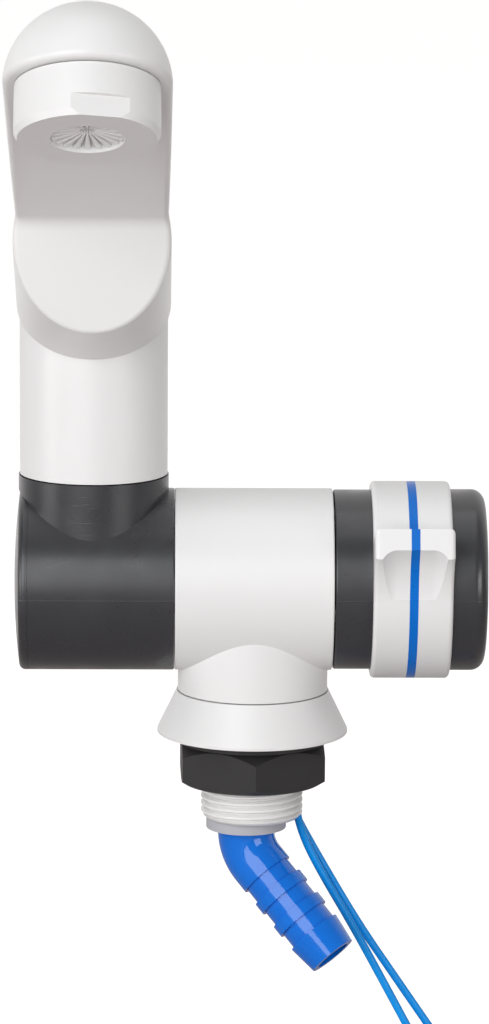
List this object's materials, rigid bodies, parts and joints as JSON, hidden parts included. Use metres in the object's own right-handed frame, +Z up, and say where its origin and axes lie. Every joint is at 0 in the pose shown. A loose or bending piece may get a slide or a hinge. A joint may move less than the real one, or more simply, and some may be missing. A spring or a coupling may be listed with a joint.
{
  "type": "cold water tap",
  "caption": "Fold-down cold water tap: level barrel with a quarter-turn lever ring that also presses a pump switch, mitred spout with aerator, threaded shank, hose tail and switch wires.",
  "frame": {"origin": "on the shank's axis, in the plane where the escutcheon's underside sits over the mounting hole", "axes": "+Z up along the shank towards the barrel, +X along the level barrel towards the lever ring, -Y towards the user, the way the spout reaches"},
  "size_m": [0.1426, 0.1649, 0.316],
  "materials": {
    "white_plastic": "satin",
    "grey_plastic": "satin",
    "black_plastic": "matt",
    "blue_plastic": "gloss",
    "blue_insulation": "satin",
    "natural_plastic": "matt",
    "rubber": "matt",
    "ceramic": "polished",
    "brass": "turned",
    "steel": "brushed",
    "tinned_copper": "bright"
  },
  "bodies": {
    "base": {"tap_body": "white_plastic", "escutcheon": "white_plastic", "base_seal": "rubber", "port_seal": "rubber", "fixed_disc": "ceramic", "cartridge_body": "natural_plastic", "chamber_cover": "natural_plastic", "cover_screws": "steel", "microswitch": "black_plastic", "switch_tags": "steel", "switch_leads": "blue_insulation", "pivot_journal": "natural_plastic", "swivel_orings": "rubber", "journal_oring": "rubber", "swivel_washer": "natural_plastic", "retaining_clip": "steel", "wire_1": "blue_insulation", "wire_2": "blue_insulation", "wire_coil_1": "blue_insulation", "wire_coil_2": "blue_insulation", "wire_end_1": "tinned_copper", "wire_end_2": "tinned_copper", "cable_tie": "natural_plastic"},
    "spout": {"swivel_housing": "grey_plastic", "pivot_cap": "grey_plastic", "spout_column": "white_plastic", "riser_tube": "natural_plastic", "riser_orings": "rubber", "spout_head": "white_plastic"},
    "aerator": {"aerator_housing": "white_plastic", "aerator_washer": "rubber", "aerator_screen": "steel", "aerator_insert": "white_plastic"},
    "handle": {"moving_disc": "ceramic", "valve_spindle": "brass", "spindle_oring": "rubber", "knob_core": "grey_plastic", "switch_cam": "natural_plastic", "knob_sleeve": "grey_plastic", "handle_ring_inner": "white_plastic", "cold_band": "blue_plastic", "handle_ring_outer": "white_plastic", "end_cap": "grey_plastic", "knob_screw": "steel"},
    "plunger": {"switch_plunger": "natural_plastic"},
    "tail": {"hose_tail": "blue_plastic", "tail_orings": "rubber", "tail_snap_ring": "steel"},
    "washer": {"clamp_washer": "black_plastic"},
    "nut": {"fixing_nut": "black_plastic"}
  },
  "joints": [
    {"name": "spout_fold", "type": "hinge", "parent": "base", "child": "spout", "pos_m": [-0.0412, 0, 0.04], "axis": [1, 0, 0], "range_deg": [0, 90]},
    {"name": "handle_turn", "type": "hinge", "parent": "base", "child": "handle", "pos_m": [0.04, 0, 0.04], "axis": [-1, 0, 0], "range_deg": [0, 90]},
    {"name": "switch_press", "type": "slide", "parent": "base", "child": "plunger", "axis": [-1, 0, 0], "range_m": [0, 0.00081]},
    {"name": "aerator_unscrew", "type": "hinge", "parent": "spout", "child": "aerator", "pos_m": [-0.0412, -0.11924, 0.17926], "axis": [0, -0.454, -0.891], "range_deg": [0, 360]},
    {"name": "tail_swivel", "type": "hinge", "parent": "base", "child": "tail", "pos_m": [-0.00145, 0, -0.02], "axis": [0, 0, 1], "range_deg": [-240, 0]},
    {"name": "washer_slide", "type": "slide", "parent": "base", "child": "washer", "axis": [0, 0, -1], "range_m": [0, 0.00621]},
    {"name": "nut_spin", "type": "hinge", "parent": "washer", "child": "nut", "pos_m": [0, 0, -0.0075], "axis": [0, 0, -1], "range_deg": [0, 1230]}
  ],
  "couplings": [
    {"joint": "switch_press", "follows": "handle_turn", "m_per_rad": 0.0005093},
    {"joint": "washer_slide", "follows": "nut_spin", "m_per_rad": 0.00028871}
  ]
}
